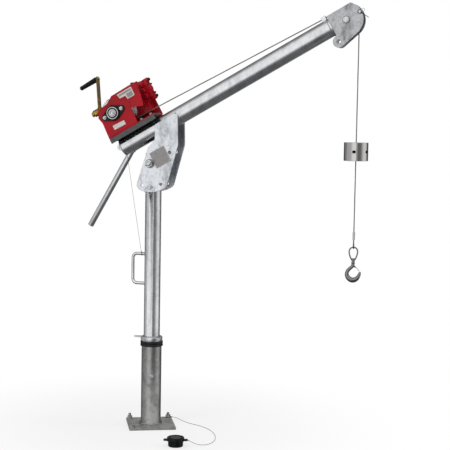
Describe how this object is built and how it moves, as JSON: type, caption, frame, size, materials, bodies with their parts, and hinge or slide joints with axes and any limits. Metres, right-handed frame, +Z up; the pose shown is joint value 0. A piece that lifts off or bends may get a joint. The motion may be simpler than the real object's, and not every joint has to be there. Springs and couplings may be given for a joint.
{
  "type": "davit crane",
  "caption": "Portable galvanised davit crane with a socket base, pivoting boom, red worm-gear hand winch, head sheave, counterweighted wire rope and swivel hook.",
  "frame": {"origin": "centre of the base plate's underside, on the mast axis", "axes": "+Z up along the mast, +X the level direction of the boom, +Y to the crank side"},
  "size_m": [1.7344, 0.7001, 2.3003],
  "materials": {
    "galvanised": "hot-dip galvanised, light spangle",
    "zinc_plate": "bright zinc plated",
    "polished_steel": "turned and polished",
    "red_paint": "gloss enamel",
    "yellow_zinc": "yellow chromate zinc",
    "black_casting": "black oxide",
    "black_rubber": "matt",
    "black_grip": "satin",
    "wire_rope": "galvanised strands",
    "bearing_plastic": "natural nylon"
  },
  "bodies": {
    "base": {"base_plate": "galvanised", "base_sleeve": "galvanised", "thrust_pad": "bearing_plastic", "top_bushing": "bearing_plastic", "seal_ring": "black_rubber", "lanyard_eyelet": "black_casting", "cap_lanyard": "wire_rope", "base_cap": "black_rubber"},
    "mast": {"mast_tube": "galvanised", "mast_collar": "galvanised", "mast_handle": "galvanised", "safety_wire": "wire_rope"},
    "boom": {"bracket_plate_near": "galvanised", "bracket_plate_far": "galvanised", "pivot_bolt": "zinc_plate", "lock_pin": "zinc_plate", "lock_pin_ring": "zinc_plate", "id_plate": "zinc_plate", "boom_tube": "galvanised", "boom_rear_cap": "galvanised", "boom_lever": "galvanised", "boom_front_plate": "galvanised", "cheek_near": "galvanised", "cheek_far": "galvanised", "sheave_bolt": "zinc_plate", "keeper_pin": "zinc_plate", "rope_guide": "galvanised", "rope_run": "wire_rope", "rope_wrap": "wire_rope", "winch_mount": "galvanised", "winch_near_plate": "red_paint", "winch_far_plate": "red_paint", "winch_floor": "red_paint", "drum_guard": "zinc_plate", "flange_bearing": "black_casting", "bearing_insert": "zinc_plate", "worm_housing": "red_paint", "gear_cover": "red_paint"},
    "sheave_wheel": {"sheave": "galvanised"},
    "winch_drum": {"drum": "galvanised", "rope_coil": "wire_rope"},
    "crank": {"crank_hub": "yellow_zinc", "crank_arm": "yellow_zinc", "crank_grip": "black_grip"},
    "fall": {"rope_fall": "wire_rope"},
    "hook_block": {"rope_tail": "wire_rope", "weight_rear": "polished_steel", "weight_front": "polished_steel", "swage": "polished_steel", "thimble": "polished_steel", "swivel_eye": "polished_steel"},
    "load_hook": {"hook": "polished_steel"},
    "latch": {"hook_latch": "zinc_plate"}
  },
  "joints": [
    {"name": "mast_slew", "type": "hinge", "parent": "base", "child": "mast", "pos_m": [0, 0, 0.033], "axis": [0, 0, 1], "continuous": true},
    {"name": "boom_luff", "type": "hinge", "parent": "mast", "child": "boom", "pos_m": [0, 0, 1.449], "axis": [0, -1, 0], "range_deg": [-29.5, 20.5], "deforming": ["safety_wire"]},
    {"name": "sheave_turn", "type": "hinge", "parent": "boom", "child": "sheave_wheel", "pos_m": [1.05211, 0, 2.21315], "axis": [0, 1, 0], "range_deg": [-430, 650]},
    {"name": "drum_turn", "type": "hinge", "parent": "boom", "child": "winch_drum", "pos_m": [-0.20897, 0, 1.71682], "axis": [0, 1, 0], "range_deg": [-582, 384]},
    {"name": "crank_turn", "type": "hinge", "parent": "boom", "child": "crank", "pos_m": [-0.35856, 0.05, 1.71721], "axis": [0.8704, 0, 0.4924], "continuous": true},
    {"name": "fall_plumb", "type": "hinge", "parent": "boom", "child": "fall", "pos_m": [1.05211, 0, 2.21315], "axis": [0, -1, 0], "range_deg": [-20.5, 29.5], "deforming": ["rope_wrap"]},
    {"name": "hoist", "type": "slide", "parent": "fall", "child": "hook_block", "axis": [0, 0, 1], "range_m": [-0.7, 0.46], "deforming": ["rope_fall"]},
    {"name": "latch_spring", "type": "hinge", "parent": "load_hook", "child": "latch", "pos_m": [1.12415, 0.00307, 0.9394], "axis": [-0.2924, 0.9563, 0], "range_deg": [0, 38], "stiffness_Nm_per_rad": 0.15, "springref_deg": -17.19},
    {"name": "hook_swivel", "type": "hinge", "parent": "hook_block", "child": "load_hook", "pos_m": [1.11411, 0, 0.95], "axis": [0, 0, 1], "continuous": true}
  ],
  "couplings": [
    {"joint": "fall_plumb", "follows": "boom_luff", "ratio": -1},
    {"joint": "drum_turn", "follows": "hoist", "rad_per_m": 14.394},
    {"joint": "sheave_turn", "follows": "hoist", "rad_per_m": -16.129}
  ]
}
